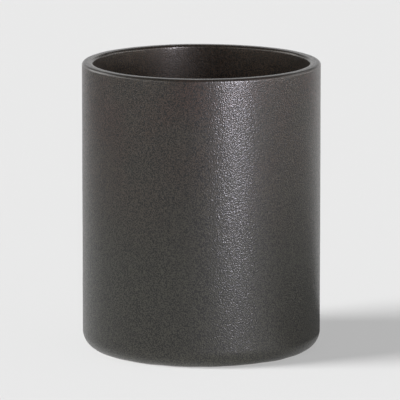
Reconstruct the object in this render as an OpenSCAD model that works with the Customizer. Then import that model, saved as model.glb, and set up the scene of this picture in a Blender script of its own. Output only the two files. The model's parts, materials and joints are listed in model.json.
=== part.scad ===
// Empty straight-sided candle vessel in glazed stoneware.
// Millimetres, +Z up. The origin is the centre of the foot, on the plane that the vessel stands on.
// Every sub-part is a turned section: the fired clay, and the coats of glaze fused to it.

/* [Vessel] */
// Outside diameter, over the glaze
outer_d = 84; // [60:1:110]
// Height from the foot to the top of the lip
height = 102; // [60:1:150]
// Finished wall thickness, with the glaze on both sides
wall = 3.9; // [3.2:0.1:6]
// Finished floor thickness over the recess under it
floor_t = 4.7; // [3.5:0.1:8]
// Rounding between the outside wall and the foot
foot_round = 6.2; // [3:0.1:8]
// Rounding between the inside wall and the floor
floor_round = 4; // [2:0.1:10]

/* [Lip] */
// Rounding of the lip's inner and outer edges
lip_round = 0.95; // [0.6:0.05:1.5]

/* [Foot] */
// Width of the bare foot ring that the vessel stands on
ring_w = 4.4; // [2.4:0.2:7]
// Depth of the shallow recess inside the foot ring
recess_depth = 1.8; // [1.2:0.1:3]
// Rounding in the recess's corner
recess_round = 1.1; // [0.5:0.1:1.2]
// Chamfer on both edges of the bare foot ring
foot_chamfer = 0.3; // [0.1:0.05:0.35]

/* [Glaze] */
// Thickness of each coat of glaze
glaze_t = 0.4; // [0.3:0.05:0.5]
// Height above the foot at which the wall's and the recess's glaze stop
glaze_line = 0.5; // [0.5:0.05:1]

/* [Hidden] */
$fn = 128;

outer_r = outer_d / 2;
inner_r = outer_r - wall;
// Height of the finished floor inside the vessel
floor_z = recess_depth + floor_t;
// The wall's and the inside's coats meet in the middle of the lip
lip_middle_r = outer_r - wall / 2;
// Inside the clay, clear of every coat: a height in the floor and a radius in the foot ring
floor_middle_z = recess_depth + floor_t / 2;
foot_outer_r = outer_r - foot_round;
foot_inner_r = foot_outer_r - ring_w;
foot_middle_r = (foot_inner_r + foot_outer_r) / 2;
// Radius of the recess under the floor, over its coat of glaze
recess_r = foot_inner_r - glaze_t;
// How far a cutting shape runs past what it cuts
overcut = 1;

// Half-section of the outside form, filled to the axis. A coat's thickness is taken off as inset.
module outside_section(inset) {
    translate([0, inset])
        square([foot_outer_r, foot_round]);
    translate([foot_outer_r, foot_round])
        circle(r = foot_round - inset);
    translate([0, foot_round])
        square([outer_r - inset, height - lip_round - foot_round]);
    translate([0, height - lip_round])
        square([outer_r - lip_round, lip_round - inset]);
    translate([outer_r - lip_round, height - lip_round])
        circle(r = lip_round - inset);
}

// Half-section of the space inside, which opens over the lip's rounded inner edge
module inside_section(inset) {
    floor_round_at = [inner_r - floor_round, floor_z + floor_round];
    translate([0, floor_z - inset])
        square([floor_round_at[0], floor_round + inset]);
    translate(floor_round_at)
        circle(r = floor_round + inset);
    translate([0, floor_round_at[1]])
        square([inner_r + inset, height - lip_round - floor_round_at[1]]);
    difference() {
        translate([0, height - lip_round])
            square([inner_r + lip_round, lip_round + overcut]);
        translate([inner_r + lip_round, height - lip_round])
            circle(r = lip_round - inset);
    }
}

// Half-section of the shallow recess under the floor
module recess_section(inset) {
    recess_round_at = [recess_r - recess_round, recess_depth - recess_round];
    translate([0, -overcut])
        square([recess_round_at[0], recess_depth + inset + overcut]);
    translate(recess_round_at)
        circle(r = recess_round + inset);
    translate([0, -overcut])
        square([recess_r + inset, recess_round_at[1] + overcut]);
}

// Half-section of the whole vessel, taken in by inset on every side
module vessel_section(inset) {
    difference() {
        outside_section(inset);
        inside_section(inset);
        recess_section(inset);
    }
}

// Half-section of the skin of glaze all round the clay
module coat_section() {
    difference() {
        vessel_section(0);
        vessel_section(glaze_t);
    }
}

// Bare ring that the vessel stands on, wiped clean of glaze before firing
module foot_ring_section() {
    polygon([
        [foot_inner_r, glaze_t + overcut],
        [foot_inner_r, foot_chamfer],
        [foot_inner_r + foot_chamfer, 0],
        [foot_outer_r - foot_chamfer, 0],
        [foot_outer_r, foot_chamfer],
        [foot_outer_r, glaze_t + overcut]
    ]);
}

// Fired clay: floor, wall, lip and foot ring in one casting
module stoneware_body() {
    color("#8f8375")
        rotate_extrude() {
            vessel_section(glaze_t);
            foot_ring_section();
        }
}

// Coat on the outside, from just above the foot to the middle of the lip
module outer_glaze() {
    color("#45423f")
        rotate_extrude()
            intersection() {
                coat_section();
                union() {
                    translate([foot_middle_r, glaze_line])
                        square([outer_r, floor_middle_z - glaze_line]);
                    translate([lip_middle_r, floor_middle_z])
                        square([outer_r, height]);
                }
            }
}

// Coat on the inside, from the middle of the lip down the wall and across the floor
module inner_glaze() {
    color("#302e2c")
        rotate_extrude()
            intersection() {
                coat_section();
                translate([0, floor_middle_z])
                    square([lip_middle_r, height]);
            }
}

// Coat in the recess under the floor, inside the foot ring
module underside_glaze() {
    color("#45423f")
        rotate_extrude()
            intersection() {
                coat_section();
                translate([0, glaze_line])
                    square([foot_middle_r, floor_middle_z - glaze_line]);
            }
}

stoneware_body();
outer_glaze();
inner_glaze();
underside_glaze();
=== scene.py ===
"""Looks for the glazed stoneware candle vessel.

Turned meshes stand for the CAD nodes and carry procedural glaze and clay, in a plain pale studio.
Lengths are in metres, in the CAD frame: +Z up, the centre of the foot at the origin.
"""

import json
import math

import bmesh
import bpy
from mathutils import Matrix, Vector, noise


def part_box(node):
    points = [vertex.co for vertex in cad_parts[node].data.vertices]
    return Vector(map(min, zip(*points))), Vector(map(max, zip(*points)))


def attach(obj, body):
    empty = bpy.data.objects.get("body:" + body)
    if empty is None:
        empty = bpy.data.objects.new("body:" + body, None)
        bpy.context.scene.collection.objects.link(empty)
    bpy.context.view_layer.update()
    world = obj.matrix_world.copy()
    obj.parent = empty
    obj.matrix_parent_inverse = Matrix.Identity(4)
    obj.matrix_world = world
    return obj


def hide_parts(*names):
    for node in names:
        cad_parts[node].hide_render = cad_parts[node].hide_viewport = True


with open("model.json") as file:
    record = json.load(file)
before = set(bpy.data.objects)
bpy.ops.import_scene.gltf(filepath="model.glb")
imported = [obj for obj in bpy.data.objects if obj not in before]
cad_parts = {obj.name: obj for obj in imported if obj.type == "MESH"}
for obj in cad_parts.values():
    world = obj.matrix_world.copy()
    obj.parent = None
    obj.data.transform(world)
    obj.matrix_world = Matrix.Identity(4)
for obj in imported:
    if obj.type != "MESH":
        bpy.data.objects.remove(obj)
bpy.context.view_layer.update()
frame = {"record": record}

MM = 0.001
TINY = 1e-6

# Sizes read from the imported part
outer_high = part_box("outer_glaze")[1]
inner_low, inner_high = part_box("inner_glaze")
clay_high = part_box("stoneware_body")[1]
under_low, under_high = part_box("underside_glaze")
bore = next(m for m in frame["record"]["mounts"] if m["name"] == "mouth_bore")

outer_r = outer_high.x
lip_z = outer_high.z
glaze_t = lip_z - clay_high.z
lip_middle_r = inner_high.x
floor_z = inner_low.z + glaze_t
inner_r = bore["dims"]["r_mm"] * MM
clay_recess_r = under_high.x
recess_z = under_high.z - glaze_t

# Roundings of the turned section, the same as the CAD model's
lip_round = 0.95 * MM
foot_round = 6.2 * MM
recess_round = 1.1 * MM
foot_chamfer = 0.3 * MM
floor_round = lip_z - lip_round - floor_z - bore["dims"]["length_mm"] * MM

# Hand-made unevenness: how far the surface strays, and over what distance
WALL_STRAY = 0.05 * MM
WALL_STRAY_OVER = 26 * MM
LIP_STRAY = 0.05 * MM
LIP_STRAY_OVER = 9 * MM
GLAZE_LINE_STRAY = 0.12 * MM
GLAZE_LINE_STRAY_OVER = 6 * MM
# Where each stray's noise is sampled, so that no two are alike
WALL_STRAY_PLACE = 5
LIP_STRAY_PLACE = 9
GLAZE_LINE_STRAY_PLACE = 13
# The strays lean inward by these shares, so that the vessel keeps inside its nominal size
WALL_LEAN = 0.4
LIP_LEAN = 0.8
# Heights over which the wall's stray comes in above the foot, and the glaze line's stray dies out
WALL_STRAY_RISE = (0.5 * MM, 8 * MM)
GLAZE_LINE_FADE = (0.4 * MM, 1.6 * MM)
# Heights over which the glaze gets thicker above its line
THIN_LINE_FADE = (0.4 * MM, 1.1 * MM)
# How much lower the lip's edges are than its crest, where the melted glaze drew back
LIP_CROWN = 0.12 * MM
# The outer glaze stops on the foot's rounding, at this angle below the horizontal
GLAZE_STOP = -71

# Points round the vessel, and steps along the stretches of its half-sections
TURN_STEPS = 384
WALL_STEPS = 56
HIDDEN_WALL_STEPS = WALL_STEPS // 4
FOOT_STEPS = 28
HIDDEN_FOOT_STEPS = 10
CLAY_FOOT_STEPS = 24
LIP_STEPS = 14
CORNER_STEPS = 16
SMALL_ARC_STEPS = 8
FLOOR_STEPS = 24
RECESS_STEPS = 20
RING_STEPS = 16

# Sizes of the glaze's features: colour drift, mottling, grains, sand, satin patches, broken edges, peel
DRIFT_SIZE = 22 * MM
MOTTLE_SIZE = 3.2 * MM
GRAIN_SIZE = 0.38 * MM
SAND_SIZE = 0.4 * MM
SATIN_SIZE = 0.9 * MM
BROKEN_SIZE = 1.6 * MM
PEEL_SIZE = 2.4 * MM
PEEL_DEPTH = 0.02 * MM
GLAZE_SPECULAR = 0.34
COAT_ROUGHNESS = 0.22
# How strong the features are: share of warm colour in a drift, brightness of mottling and of grains,
# share of lean glaze where an edge is broken
DRIFT_RANGE = (0.4, 1.0)
MOTTLE_RANGE = (0.92, 1.08)
GRAIN_RANGE = (0.0, 2.1)
BROKEN_RANGE = (0.05, 0.35)
# The warm colour begins at this share of the height. Outside it is darker than the olive: painted shade on
# the upper wall as well as a drift of colour.
WARM_FROM = 0.35
# On the melted lip, the share that is left of the wall's roughness and of its sand
LIP_SATIN = 0.6
LIP_SAND = 0.25

# Glaze outside and underneath: body colours, roughness, tint of reflections, gloss coat, depth of sand
OLIVE = (0.0265, 0.0255, 0.0185)
# The brown is a warm drift of the glaze and also painted shade: it is darker than the olive and darkens the
# upper wall.
BROWN_WITH_PAINTED_SHADE = (0.036, 0.0165, 0.0115)
OUTER_SATIN = (0.46, 0.6)
OUTER_TINT = (1, 0.98, 0.93)
OUTER_COAT = 0.5
OUTER_SAND = 0.1 * MM
# Glaze inside
DEEP = (0.028, 0.018, 0.01)
DEEP_WARM = (0.036, 0.02, 0.0115)
INNER_SATIN = (0.36, 0.5)
INNER_TINT = (1, 0.91, 0.8)
INNER_COAT = 0.4
INNER_SAND = 0.04 * MM
# Lean glaze on the edges, and the bare clay with its specks and the places rubbed by kiln shelves
LEAN = (0.09, 0.078, 0.066)
CLAY_DARK = (0.24, 0.19, 0.145)
CLAY_LIGHT = (0.34, 0.28, 0.22)
CLAY_SPECK = (0.06, 0.045, 0.035)
CLAY_RUBBED = (0.12, 0.1, 0.085)
# Sizes of the clay's features, and its roughness
PATCH_SIZE = 12 * MM
SPECK_SIZE = 0.9 * MM
RUB_SIZE = 5 * MM
DRYNESS_SIZE = 2 * MM
CLAY_DRYNESS = (0.78, 0.95)
CLAY_GRAIN_SIZE = 0.35 * MM
CLAY_GRAIN_DEPTH = 0.05 * MM
CLAY_DENT_SIZE = 1.5 * MM
CLAY_DENT_DEPTH = 0.06 * MM

# Floor: how wide, how far under the foot, its grey and its even glow
FLOOR_HALF = 20
FLOOR_DROP = 0.02 * MM
FLOOR_GREY = 0.25
FLOOR_GLOW = 0.405

# Lights. Angles are in degrees. Azimuth 0 is in front, on the camera's side, and 90 is to the right.
KEY_AZIMUTH = -75
KEY_ELEVATION = 16
KEY_SPREAD = 30
KEY_DISTANCE = 2
KEY_STRENGTH = 16.0
STRIP_AZIMUTH = 31.2
STRIP_DISTANCE = 0.45
STRIP_HEIGHT = 0.25
STRIP_WIDTH = 0.05
STRIP_LENGTH = 0.4
STRIP_COLOUR = (0.98, 0.96, 1.09)
STRIP_STRENGTH = 4.1
# The room's light at the horizon and overhead, and between which heights on the unit sphere it changes
ROOM_HORIZON = 0.72
ROOM_TOP = 0.2
HORIZON_FADE = (0.16, 0.42)

# Cards round the set for the vessel to reflect: from azimuth, to azimuth, and brightness
LEFT_SOFTBOX = (-135, -30, 2.6)
RIGHT_SOFTBOX = (50, 100, 7.6)
BACK_CARD = (100, 130, 4.0)
TOP_CARD = (0, 130, 1.5)
BLACK_FLAG = (-135, 130, 0.0)
# A dark sheet lying flat on the floor to the right, seen only in reflections: a painted floor shadow that
# darkens the lower right of the wall.
PAINTED_FLOOR_SHADOW = (55, 135, 0.1)
# The lower and the upper edge of a card, as (distance from the vessel's axis, height)
TALL_EDGES = ((0.5, 0.12), (0.5, 0.45))
LOWER_EDGES = ((0.5, 0.12), (0.5, 0.2))
UPPER_EDGES = ((0.5, 0.28), (0.5, 0.45))
BLACK_FLAG_EDGES = ((0.52, 0), (0.52, 0.45))
PAINTED_FLOOR_SHADOW_EDGES = ((0.047, 0.001), (0.26, 0.001))
CARD_STEPS = 24

# Camera: degrees above the level, and lengths as shares of the vessel's outer radius
CAMERA_ELEVATION = 10.34
CAMERA_DISTANCE = 45
FRAME_WIDTH = 3.362
AIM_RIGHT = -0.0112
AIM_ABOVE_MIDDLE = 0.034
SENSOR_WIDTH = 36
CLIP_START = 0.01
CLIP_END = 100


# --- Turned meshes ---------------------------------------------------------------------------------


def arc(centre, radius, start, end, steps):
    """Points of a rounding in the half-section, as (distance from the axis, height). Angles in degrees."""
    angles = [math.radians(start + (end - start) * i / steps) for i in range(steps + 1)]
    return [(centre[0] + radius * math.cos(a), centre[1] + radius * math.sin(a)) for a in angles]


def line(start, end, steps):
    """Points on a straight stretch of the half-section, without its two ends."""
    shares = [i / steps for i in range(1, steps)]
    return [(start[0] + (end[0] - start[0]) * s, start[1] + (end[1] - start[1]) * s) for s in shares]


def stray(point, over, offset):
    """Smooth noise from -1 to 1 that changes over the given distance."""
    return noise.noise(point / over + Vector((offset, 2 * offset, 3 * offset)))


def turn(name, section, shape=None, marks=None):
    """A closed mesh from a closed half-section.

    shape(point) moves a point, and marks holds a rule for each mark.
    """
    mesh = bmesh.new()
    rings = []
    for radius, height in section:
        if radius < TINY:
            rings.append([mesh.verts.new((0, 0, height))])
            continue
        angles = [2 * math.pi * i / TURN_STEPS for i in range(TURN_STEPS)]
        rings.append([mesh.verts.new((radius * math.cos(a), radius * math.sin(a), height)) for a in angles])
    for ring, following in zip(rings, rings[1:] + rings[:1]):
        join_rings(mesh, ring, following)
    if shape:
        for vert in mesh.verts:
            vert.co = shape(vert.co.copy())
    bmesh.ops.recalc_face_normals(mesh, faces=mesh.faces)
    data = bpy.data.meshes.new(name)
    mesh.to_mesh(data)
    mesh.free()
    data.shade_smooth()
    for mark, rule in (marks or {}).items():
        values = data.attributes.new(mark, "FLOAT", "POINT")
        values.data.foreach_set("value", [rule(v.co) for v in data.vertices])
    piece = bpy.data.objects.new(name, data)
    bpy.context.scene.collection.objects.link(piece)
    return piece


def join_rings(mesh, ring, following):
    """Faces between two neighbouring rings, either of which can be a single point on the axis."""
    if len(ring) == 1 and len(following) == 1:
        return
    for i in range(TURN_STEPS):
        j = (i + 1) % TURN_STEPS
        corners = [ring[i % len(ring)], ring[j % len(ring)]]
        corners += [following[j % len(following)], following[i % len(following)]]
        mesh.faces.new(list(dict.fromkeys(corners)))


def smooth_step(value, low, high):
    """An eased rise from 0 at low to 1 at high."""
    share = min(max((value - low) / (high - low), 0), 1)
    return share * share * (3 - 2 * share)


def uneven_wall(point):
    """The casting's slight waviness, which fades out at the foot so that the vessel stands true."""
    away = Vector((point.x, point.y, 0))
    if away.length < TINY:
        return point
    fade = smooth_step(point.z, *WALL_STRAY_RISE)
    amount = WALL_STRAY * (stray(point, WALL_STRAY_OVER, WALL_STRAY_PLACE) - WALL_LEAN) * fade
    point += away.normalized() * amount
    if point.z > lip_z - 2.5 * lip_round:
        point.z += LIP_STRAY * (stray(point, LIP_STRAY_OVER, LIP_STRAY_PLACE) - LIP_LEAN)
    return point


def uneven_foot(point):
    """The glaze line that a sponge left, a little wavy."""
    moved = uneven_wall(point)
    near_line = 1 - smooth_step(moved.z, *GLAZE_LINE_FADE)
    moved.z += GLAZE_LINE_STRAY * stray(moved, GLAZE_LINE_STRAY_OVER, GLAZE_LINE_STRAY_PLACE) * near_line
    return moved


def crowned_lip(inset):
    """The lip from its outer rounding's foot to its inner rounding's foot, taken in by inset and domed."""
    outer_centre = (outer_r - lip_round, lip_z - lip_round)
    inner_centre = (inner_r + lip_round, lip_z - lip_round)
    edge_r = lip_round - inset
    points = arc(outer_centre, edge_r, 0, 90, LIP_STEPS)
    points += line((outer_centre[0], lip_z - inset), (inner_centre[0], lip_z - inset), LIP_STEPS)
    points += arc(inner_centre, edge_r, 90, 180, LIP_STEPS)
    half_width = (outer_r - inner_r) / 2
    return [(r, z - LIP_CROWN * ((r - lip_middle_r) / half_width) ** 2 * rise(z)) for r, z in points]


def rise(height):
    """How far up the lip's rounding a height is, from 0 at its foot to 1 at the top."""
    return smooth_step(height, lip_z - lip_round, lip_z - glaze_t)


def outer_half(points):
    """The points from the middle of the lip outward."""
    return [p for p in points if p[0] >= lip_middle_r - TINY]


def inner_half(points):
    """The points from the middle of the lip inward."""
    return [p for p in points if p[0] <= lip_middle_r + TINY]


def outer_glaze_section():
    """Up the outside from the glaze line to the middle of the lip, and back down against the clay."""
    centre = (outer_r - foot_round, foot_round)
    wall_top = lip_z - lip_round
    face = arc(centre, foot_round, GLAZE_STOP, 0, FOOT_STEPS)
    face += line((outer_r, foot_round), (outer_r, wall_top), WALL_STEPS)
    face += outer_half(crowned_lip(0))
    back = outer_half(crowned_lip(glaze_t))[::-1]
    back += line((outer_r - glaze_t, wall_top), (outer_r - glaze_t, foot_round), HIDDEN_WALL_STEPS)
    back += arc(centre, foot_round - glaze_t, 0, GLAZE_STOP, HIDDEN_FOOT_STEPS)
    stop = math.radians(GLAZE_STOP)
    middle_r = foot_round - glaze_t / 2
    roll_centre = (centre[0] + middle_r * math.cos(stop), centre[1] + middle_r * math.sin(stop))
    roll = arc(roll_centre, glaze_t / 2, GLAZE_STOP - 180, GLAZE_STOP, SMALL_ARC_STEPS)[1:-1]
    return face + back + roll


def inner_glaze_section():
    """Down the inside from the middle of the lip to the centre of the floor, and back against the clay."""
    centre = (inner_r - floor_round, floor_z + floor_round)
    wall_top = lip_z - lip_round
    face = inner_half(crowned_lip(0))
    face += line((inner_r, wall_top), (inner_r, centre[1]), WALL_STEPS)
    face += arc(centre, floor_round, 0, -90, CORNER_STEPS)
    face += line((centre[0], floor_z), (0, floor_z), FLOOR_STEPS)
    face += [(0, floor_z)]
    back = [(0, floor_z - glaze_t), (centre[0], floor_z - glaze_t)]
    back += arc(centre, floor_round + glaze_t, -90, 0, SMALL_ARC_STEPS)[1:]
    back += line((inner_r + glaze_t, centre[1]), (inner_r + glaze_t, wall_top), HIDDEN_WALL_STEPS)
    back += inner_half(crowned_lip(glaze_t))[::-1]
    return face + back


def underside_glaze_section():
    """The coat in the recess under the floor, down to its own glaze line inside the foot ring."""
    centre = (clay_recess_r - glaze_t - recess_round, recess_z - recess_round)
    stop_z = under_low.z
    face = [(0, recess_z)]
    face += line((0, recess_z), (centre[0], recess_z), RECESS_STEPS)
    face += arc(centre, recess_round, 90, 0, SMALL_ARC_STEPS)
    roll = arc((clay_recess_r - glaze_t / 2, stop_z), glaze_t / 2, 180, 360, SMALL_ARC_STEPS)
    back = arc(centre, recess_round + glaze_t, 0, 90, SMALL_ARC_STEPS)
    back += [(0, recess_z + glaze_t)]
    return face + roll + back


def clay_section():
    """The fired clay: foot ring, outside, lip, inside, floor and recess, under the coats of glaze."""
    outside_centre = (outer_r - foot_round, foot_round)
    inside_centre = (inner_r - floor_round, floor_z + floor_round)
    recess_centre = (clay_recess_r - glaze_t - recess_round, recess_z - recess_round)
    ring_outer = outside_centre[0]
    wall_top = lip_z - lip_round
    points = [(clay_recess_r, recess_centre[1]), (clay_recess_r, foot_chamfer)]
    points += [(clay_recess_r + foot_chamfer / 3, foot_chamfer / 3), (clay_recess_r + foot_chamfer, 0)]
    points += line((clay_recess_r + foot_chamfer, 0), (ring_outer - foot_chamfer, 0), RING_STEPS)
    points += [(ring_outer - foot_chamfer, 0), (ring_outer - foot_chamfer / 3, foot_chamfer / 3)]
    points += [(ring_outer, foot_chamfer)]
    points += arc(outside_centre, foot_round - glaze_t, -90, 0, CLAY_FOOT_STEPS)
    points += line((outer_r - glaze_t, foot_round), (outer_r - glaze_t, wall_top), HIDDEN_WALL_STEPS)
    points += crowned_lip(glaze_t)
    points += line((inner_r + glaze_t, wall_top), (inner_r + glaze_t, inside_centre[1]), HIDDEN_WALL_STEPS)
    points += arc(inside_centre, floor_round + glaze_t, 0, -90, SMALL_ARC_STEPS)
    points += [(0, floor_z - glaze_t), (0, recess_z + glaze_t)]
    points += arc(recess_centre, recess_round + glaze_t, 90, 0, SMALL_ARC_STEPS)[:-1]
    return points


def thin_on_edges(point):
    """Where melted glaze drew back: 1 on the lip's roundings and at the glaze line, 0 elsewhere."""
    reach = math.hypot(point.x, point.y)
    from_middle = abs(reach - lip_middle_r) / ((outer_r - inner_r) / 2)
    on_lip = smooth_step(point.z, lip_z - 1.5 * lip_round, lip_z - 0.4 * lip_round)
    on_edge = smooth_step(from_middle, 0.35, 0.8) * on_lip
    on_line = 1 - smooth_step(point.z, *THIN_LINE_FADE)
    return max(on_edge, on_line)


def melted_on_lip(point):
    """Where the glaze ran smooth over the lip: 1 on top of it, 0 on the walls."""
    return smooth_step(point.z, lip_z - 1.2 * lip_round, lip_z - 0.6 * lip_round)


GLAZE_MARKS = {"glaze_thin": thin_on_edges, "glaze_melted": melted_on_lip}


# --- Materials -------------------------------------------------------------------------------------


class Material:
    """A node material under construction, with the object's own coordinates at hand."""

    def __init__(self, name):
        self.data = bpy.data.materials.new(name)
        self.data.use_nodes = True
        self.tree = self.data.node_tree
        self.surface = self.tree.nodes["Principled BSDF"]
        self.place = self.tree.nodes.new("ShaderNodeTexCoord").outputs["Object"]

    def node(self, kind, **inputs):
        """A new node with its inputs fed by name, with _ for a space."""
        made = self.tree.nodes.new(kind)
        for key, value in inputs.items():
            self.feed(made.inputs[key.replace("_", " ")], value)
        return made

    def feed(self, socket, value):
        """Links another node's output to the socket, or sets the socket to a plain value."""
        if isinstance(value, bpy.types.NodeSocket):
            self.tree.links.new(value, socket)
        else:
            socket.default_value = value

    def noise(self, size, detail=2.0, roughness=0.5):
        """Noise whose features are about size across, in metres."""
        made = self.node("ShaderNodeTexNoise", Vector=self.place, Scale=1 / size)
        self.feed(made.inputs["Detail"], detail)
        self.feed(made.inputs["Roughness"], roughness)
        return made.outputs["Fac"]

    def cells(self, size):
        """Distance from the nearest of the points scattered about size apart, in metres."""
        made = self.node("ShaderNodeTexVoronoi", Vector=self.place, Scale=1 / size)
        return made.outputs["Distance"]

    def spread(self, value, low, high, to_low=0.0, to_high=1.0):
        """Stretches low..high to to_low..to_high, and stops at both ends."""
        made = self.tree.nodes.new("ShaderNodeMapRange")
        settings = (value, low, high, to_low, to_high)
        for socket, setting in zip(made.inputs, settings):
            self.feed(socket, setting)
        return made.outputs["Result"]

    def math(self, operation, first, second):
        """The result of a sum, product or other operation on two values."""
        made = self.tree.nodes.new("ShaderNodeMath")
        made.operation = operation
        self.feed(made.inputs[0], first)
        self.feed(made.inputs[1], second)
        return made.outputs["Value"]

    def blend(self, share, first, second, mode="MIX"):
        """first where share is 0, second where it is 1. Colours are sockets or (red, green, blue)."""
        made = self.tree.nodes.new("ShaderNodeMix")
        made.data_type = "RGBA"
        made.blend_type = mode
        self.feed(made.inputs["Factor"], share)
        for socket, colour in zip([s for s in made.inputs if s.type == "RGBA"], (first, second)):
            self.feed(socket, (*colour, 1) if isinstance(colour, tuple) else colour)
        return next(s for s in made.outputs if s.type == "RGBA")

    def bump(self, height, depth, under=None):
        """A bump of the given depth in metres, on top of another one."""
        made = self.node("ShaderNodeBump", Height=height, Distance=depth, Strength=1.0)
        if under:
            self.feed(made.inputs["Normal"], under)
        return made.outputs["Normal"]

    def mark(self, name):
        """A value from 0 to 1 that turn() stored in the mesh."""
        made = self.tree.nodes.new("ShaderNodeAttribute")
        made.attribute_name = name
        return made.outputs["Fac"]


def glaze(name, dark, warm, satin, tint, coat, sand_depth):
    """Satin reactive glaze: a dark body that turns warmer near the lip, fine sand, and lean, broken edges.
    Outside, the warmer colour is also darker: painted shade on the upper wall.

    satin is the range of roughness, tint the colour of what it reflects head-on, and coat the share of
    clear gloss over it.
    """
    made = Material(name)
    colour = grained(made, glaze_body(made, dark, warm))
    patchy = made.spread(made.noise(BROKEN_SIZE, 3, 0.6), 0.3, 0.6, *BROKEN_RANGE)
    broken = made.math("MULTIPLY", made.mark("glaze_thin"), patchy)
    made.feed(made.surface.inputs["Base Color"], made.blend(broken, colour, LEAN))
    made.feed(made.surface.inputs["Specular IOR Level"], GLAZE_SPECULAR)
    made.feed(made.surface.inputs["Specular Tint"], (*tint, 1))
    made.feed(made.surface.inputs["Coat Weight"], coat)
    made.feed(made.surface.inputs["Coat Roughness"], COAT_ROUGHNESS)
    melted = made.mark("glaze_melted")
    satin_here = made.spread(made.noise(SATIN_SIZE, 2, 0.6), 0.35, 0.65, *satin)
    smoother = made.spread(melted, 0.0, 1.0, 1.0, LIP_SATIN)
    made.feed(made.surface.inputs["Roughness"], made.math("MULTIPLY", satin_here, smoother))
    flatter = made.spread(melted, 0.0, 1.0, 1.0, LIP_SAND)
    sand = made.math("MULTIPLY", made.noise(SAND_SIZE, 0), flatter)
    sandy = made.bump(sand, sand_depth, made.bump(made.noise(PEEL_SIZE), PEEL_DEPTH))
    made.feed(made.surface.inputs["Normal"], sandy)
    made.feed(made.surface.inputs["Coat Normal"], sandy)
    return made.data


def glaze_body(made, dark, warm):
    """The glaze's colour: dark low on the wall, and warm in broad clouds towards the lip. Outside, the warm
    colour is darker, so it also paints shade on the upper wall.
    """
    height = made.node("ShaderNodeSeparateXYZ", Vector=made.place).outputs["Z"]
    near_lip = made.spread(height, WARM_FROM * lip_z, lip_z)
    clouds = made.spread(made.noise(DRIFT_SIZE, 3, 0.55), 0.35, 0.6, *DRIFT_RANGE)
    return made.blend(made.math("MULTIPLY", near_lip, clouds), dark, warm)


def grained(made, colour):
    """The colour with slight mottling and strong fine grains multiplied into it."""
    mottle = made.spread(made.noise(MOTTLE_SIZE, 4, 0.6), 0.3, 0.7, *MOTTLE_RANGE)
    grains = made.spread(made.noise(GRAIN_SIZE, 0), 0.42, 0.58, *GRAIN_RANGE)
    for pattern in (mottle, grains):
        colour = made.blend(1.0, colour, grey_of(made, pattern), "MULTIPLY")
    return colour


def grey_of(made, value):
    """A grey whose brightness is the value."""
    grey = made.tree.nodes.new("ShaderNodeCombineColor")
    for socket in grey.inputs:
        made.feed(socket, value)
    return grey.outputs["Color"]


def bare_clay(name):
    """Unglazed fired stoneware: dry, sandy and speckled, a little darker where shelves rubbed it."""
    made = Material(name)
    patches = made.spread(made.noise(PATCH_SIZE, 4, 0.6), 0.35, 0.65)
    specks = made.spread(made.cells(SPECK_SIZE), 0.1, 0.2, 0.7, 0.0)
    body = made.blend(specks, made.blend(patches, CLAY_DARK, CLAY_LIGHT), CLAY_SPECK)
    rubbed = made.math("MULTIPLY", made.spread(made.noise(RUB_SIZE, 3, 0.6), 0.5, 0.68), 0.4)
    made.feed(made.surface.inputs["Base Color"], made.blend(rubbed, body, CLAY_RUBBED))
    dryness = made.spread(made.noise(DRYNESS_SIZE, 3, 0.6), 0.3, 0.7, *CLAY_DRYNESS)
    made.feed(made.surface.inputs["Roughness"], dryness)
    grain = made.bump(made.noise(CLAY_GRAIN_SIZE, 3, 0.6), CLAY_GRAIN_DEPTH)
    dents = made.bump(made.noise(CLAY_DENT_SIZE, 3, 0.5), CLAY_DENT_DEPTH, grain)
    made.feed(made.surface.inputs["Normal"], dents)
    return made.data


# --- The vessel ------------------------------------------------------------------------------------


def dress(piece, node, material):
    """Puts a piece on the part: it stands for the CAD node and rides the part's one body."""
    piece.data.materials.append(material)
    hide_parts(node)
    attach(piece, "root")


outer_colour = glaze("outer_glaze", OLIVE, BROWN_WITH_PAINTED_SHADE, OUTER_SATIN, OUTER_TINT, OUTER_COAT, OUTER_SAND)
inner_colour = glaze("inner_glaze", DEEP, DEEP_WARM, INNER_SATIN, INNER_TINT, INNER_COAT, INNER_SAND)
under_colour = glaze("underside_glaze", OLIVE, BROWN_WITH_PAINTED_SHADE, OUTER_SATIN, OUTER_TINT, OUTER_COAT, OUTER_SAND)
clay_colour = bare_clay("bare_clay")

clay = turn("fired_clay", clay_section(), uneven_wall)
dress(clay, "stoneware_body", clay_colour)
outer_coat = turn("outer_glaze_coat", outer_glaze_section(), uneven_foot, GLAZE_MARKS)
dress(outer_coat, "outer_glaze", outer_colour)
inner_coat = turn("inner_glaze_coat", inner_glaze_section(), uneven_wall, GLAZE_MARKS)
dress(inner_coat, "inner_glaze", inner_colour)
under_coat = turn("underside_glaze_coat", underside_glaze_section(), None, GLAZE_MARKS)
dress(under_coat, "underside_glaze", under_colour)


# --- Studio ----------------------------------------------------------------------------------------


def glowing(name, grey, brightness):
    """Matt paper of a grey that also glows evenly."""
    paper = Material(name)
    paper.feed(paper.surface.inputs["Base Color"], (grey, grey, grey, 1))
    paper.feed(paper.surface.inputs["Roughness"], 1.0)
    paper.feed(paper.surface.inputs["Specular IOR Level"], 0.0)
    paper.feed(paper.surface.inputs["Emission Color"], (1, 1, 1, 1))
    paper.feed(paper.surface.inputs["Emission Strength"], brightness)
    return paper.data


def stage_sheet(name, mesh, paper):
    """Puts a sheet of the set in the scene, from its unfinished mesh."""
    data = bpy.data.meshes.new(name)
    mesh.to_mesh(data)
    mesh.free()
    data.materials.append(paper)
    sheet = bpy.data.objects.new(name, data)
    bpy.context.scene.collection.objects.link(sheet)
    return sheet


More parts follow.
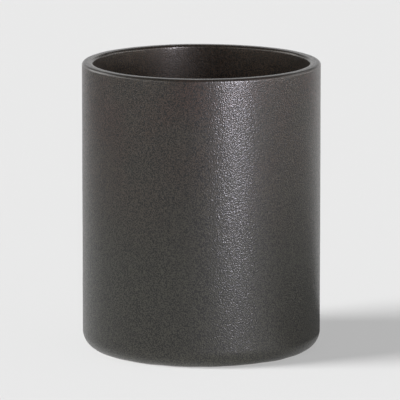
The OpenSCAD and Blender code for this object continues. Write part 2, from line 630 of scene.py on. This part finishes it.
def studio_floor():
    """A wide pale floor, evenly lit, just under the foot."""
    mesh = bmesh.new()
    signs = [(-1, -1), (1, -1), (1, 1), (-1, 1)]
    mesh.faces.new([mesh.verts.new((x * FLOOR_HALF, y * FLOOR_HALF, -FLOOR_DROP)) for x, y in signs])
    return stage_sheet("floor", mesh, glowing("floor_paper", FLOOR_GREY, FLOOR_GLOW))


def toward(azimuth, elevation):
    """Direction from the vessel to a light."""
    turned, raised = math.radians(azimuth), math.radians(elevation)
    level = math.cos(raised)
    return Vector((math.sin(turned) * level, -math.cos(turned) * level, math.sin(raised)))


def place_light(light, position, direction):
    """Puts a light at a position, facing against the direction that leads to it."""
    placed = bpy.data.objects.new(light.name, light)
    placed.location = position
    placed.rotation_euler = (-direction).to_track_quat("-Z", "Y").to_euler()
    bpy.context.scene.collection.objects.link(placed)
    return placed


def light_only(placed, lit):
    """The light falls on the lit objects alone. They are still shaded by everything."""
    receivers = bpy.data.collections.new("lit_by_" + placed.name)
    for piece in lit:
        receivers.objects.link(piece)
    placed.light_linking.receiver_collection = receivers


def key_light(floor):
    """A distant soft key from the left, for the shadow on the floor. It lights the floor alone."""
    light = bpy.data.lights.new("key_light", "SUN")
    light.energy = KEY_STRENGTH
    light.angle = math.radians(KEY_SPREAD)
    direction = toward(KEY_AZIMUTH, KEY_ELEVATION)
    light_only(place_light(light, direction * KEY_DISTANCE, direction), [floor])


def strip_light():
    """A tall, narrow light in front on the right, for the highlight down the wall.

    It lights the vessel alone, and only through the glaze's gloss.
    """
    light = bpy.data.lights.new("strip_light", "AREA")
    light.shape = "RECTANGLE"
    light.size = STRIP_WIDTH
    light.size_y = STRIP_LENGTH
    light.energy = STRIP_STRENGTH
    light.color = STRIP_COLOUR
    direction = toward(STRIP_AZIMUTH, 0)
    strip = place_light(light, direction * STRIP_DISTANCE + Vector((0, 0, STRIP_HEIGHT)), direction)
    strip.visible_diffuse = False
    light_only(strip, [clay, outer_coat, inner_coat, under_coat])


def card(name, start, end, brightness, edges):
    """A curved card round part of the set, from one azimuth to another. Only reflections see it."""
    mesh = bmesh.new()
    columns = []
    for i in range(CARD_STEPS + 1):
        outward = toward(start + (end - start) * i / CARD_STEPS, 0)
        columns.append([mesh.verts.new(outward * away + Vector((0, 0, height))) for away, height in edges])
    for (low, high), (next_low, next_high) in zip(columns, columns[1:]):
        mesh.faces.new((low, next_low, next_high, high))
    placed = stage_sheet(name, mesh, glowing(name, 0, brightness))
    placed.visible_camera = False
    placed.visible_diffuse = False
    placed.visible_shadow = False


def studio_room():
    """Light from all round: a dim room that is pale near the horizon."""
    world = bpy.data.worlds.new("studio_room")
    world.use_nodes = True
    tree = world.node_tree
    place = tree.nodes.new("ShaderNodeTexCoord")
    axes = tree.nodes.new("ShaderNodeSeparateXYZ")
    tree.links.new(place.outputs["Generated"], axes.inputs["Vector"])
    fade = tree.nodes.new("ShaderNodeMapRange")
    fade.interpolation_type = "SMOOTHSTEP"
    tree.links.new(axes.outputs["Z"], fade.inputs["Value"])
    fade.inputs["From Min"].default_value, fade.inputs["From Max"].default_value = HORIZON_FADE
    fade.inputs["To Min"].default_value = ROOM_HORIZON
    fade.inputs["To Max"].default_value = ROOM_TOP
    tree.links.new(fade.outputs["Result"], tree.nodes["Background"].inputs["Strength"])
    tree.nodes["Background"].inputs["Color"].default_value = (1, 1, 1, 1)
    bpy.context.scene.world = world


def camera():
    """A long lens a little above the lip, aimed just over the middle of the vessel."""
    elevation = math.radians(CAMERA_ELEVATION)
    aim = Vector((AIM_RIGHT * outer_r, 0, lip_z / 2 + AIM_ABOVE_MIDDLE * outer_r))
    lens = bpy.data.cameras.new("camera")
    lens.sensor_width = SENSOR_WIDTH
    lens.lens = SENSOR_WIDTH * CAMERA_DISTANCE / FRAME_WIDTH
    lens.clip_start = CLIP_START
    lens.clip_end = CLIP_END
    view = bpy.data.objects.new("camera", lens)
    back = Vector((0, -math.cos(elevation), math.sin(elevation)))
    view.location = aim + back * CAMERA_DISTANCE * outer_r
    view.rotation_euler = (-back).to_track_quat("-Z", "Y").to_euler()
    bpy.context.scene.collection.objects.link(view)
    bpy.context.scene.camera = view


key_light(studio_floor())
strip_light()
studio_room()
card("left_softbox", *LEFT_SOFTBOX, TALL_EDGES)
card("right_softbox", *RIGHT_SOFTBOX, LOWER_EDGES)
card("back_card", *BACK_CARD, LOWER_EDGES)
card("top_card", *TOP_CARD, UPPER_EDGES)
card("black_flag", *BLACK_FLAG, BLACK_FLAG_EDGES)
# Painted floor shadow: a dark sheet on the floor that only reflections see.
card("painted_floor_shadow", *PAINTED_FLOOR_SHADOW, PAINTED_FLOOR_SHADOW_EDGES)
camera()
bpy.context.scene.view_settings.view_transform = "Standard"
